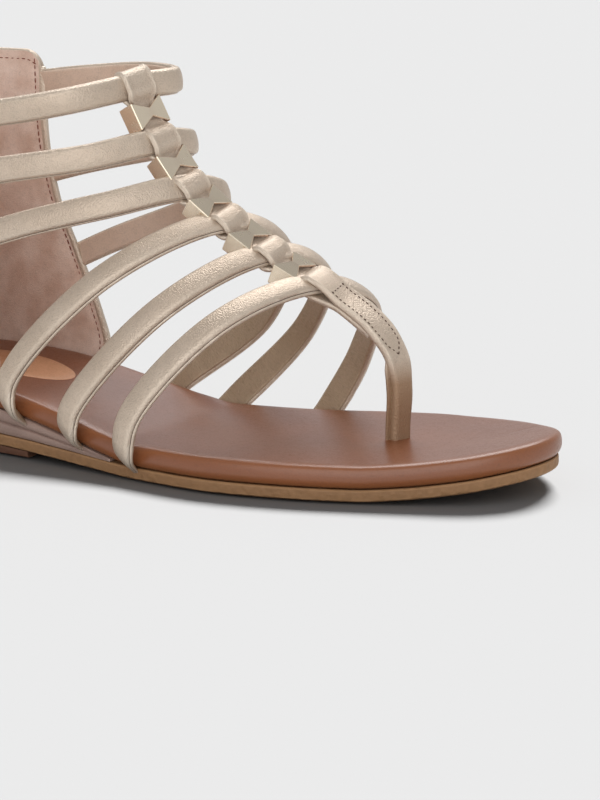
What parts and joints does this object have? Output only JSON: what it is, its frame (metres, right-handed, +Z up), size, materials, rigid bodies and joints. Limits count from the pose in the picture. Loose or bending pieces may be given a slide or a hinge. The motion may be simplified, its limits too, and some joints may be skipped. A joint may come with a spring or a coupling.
{
  "type": "gladiator sandal",
  "caption": "Flat gladiator sandal for the right foot: rolled leather straps on a studded spine band with a toe post, an open-front heel shaft and a padded insole on a low wedge sole.",
  "frame": {"origin": "on the ground under the middle of the sandal's bounding box", "axes": "+X from the heel to the toe, +Y to the inner side of the right foot, +Z up"},
  "size_m": [0.2528, 0.0966, 0.124],
  "materials": {
    "gold_leather": "soft metallic champagne grain",
    "suede_lining": "napped pinkish beige suede",
    "footbed_leather": "smooth saddle brown, slight sheen",
    "wedge_leather": "smooth mauve brown",
    "outsole_rubber": "matt tan, slightly rough edge",
    "heel_rubber": "matt dark brown",
    "stud_metal": "polished pale gold plating",
    "thread": "twisted sewing thread"
  },
  "bodies": {
    "root": {"outsole": "outsole_rubber", "heel_block": "heel_rubber", "midsole_wedge": "wedge_leather", "insole": "footbed_leather", "heel_shaft": "gold_leather", "strap_cage": "gold_leather", "stud_1": "stud_metal", "stud_2": "stud_metal", "stud_3": "stud_metal", "stud_4": "stud_metal", "stud_5": "stud_metal"}
  },
  "joints": []
}
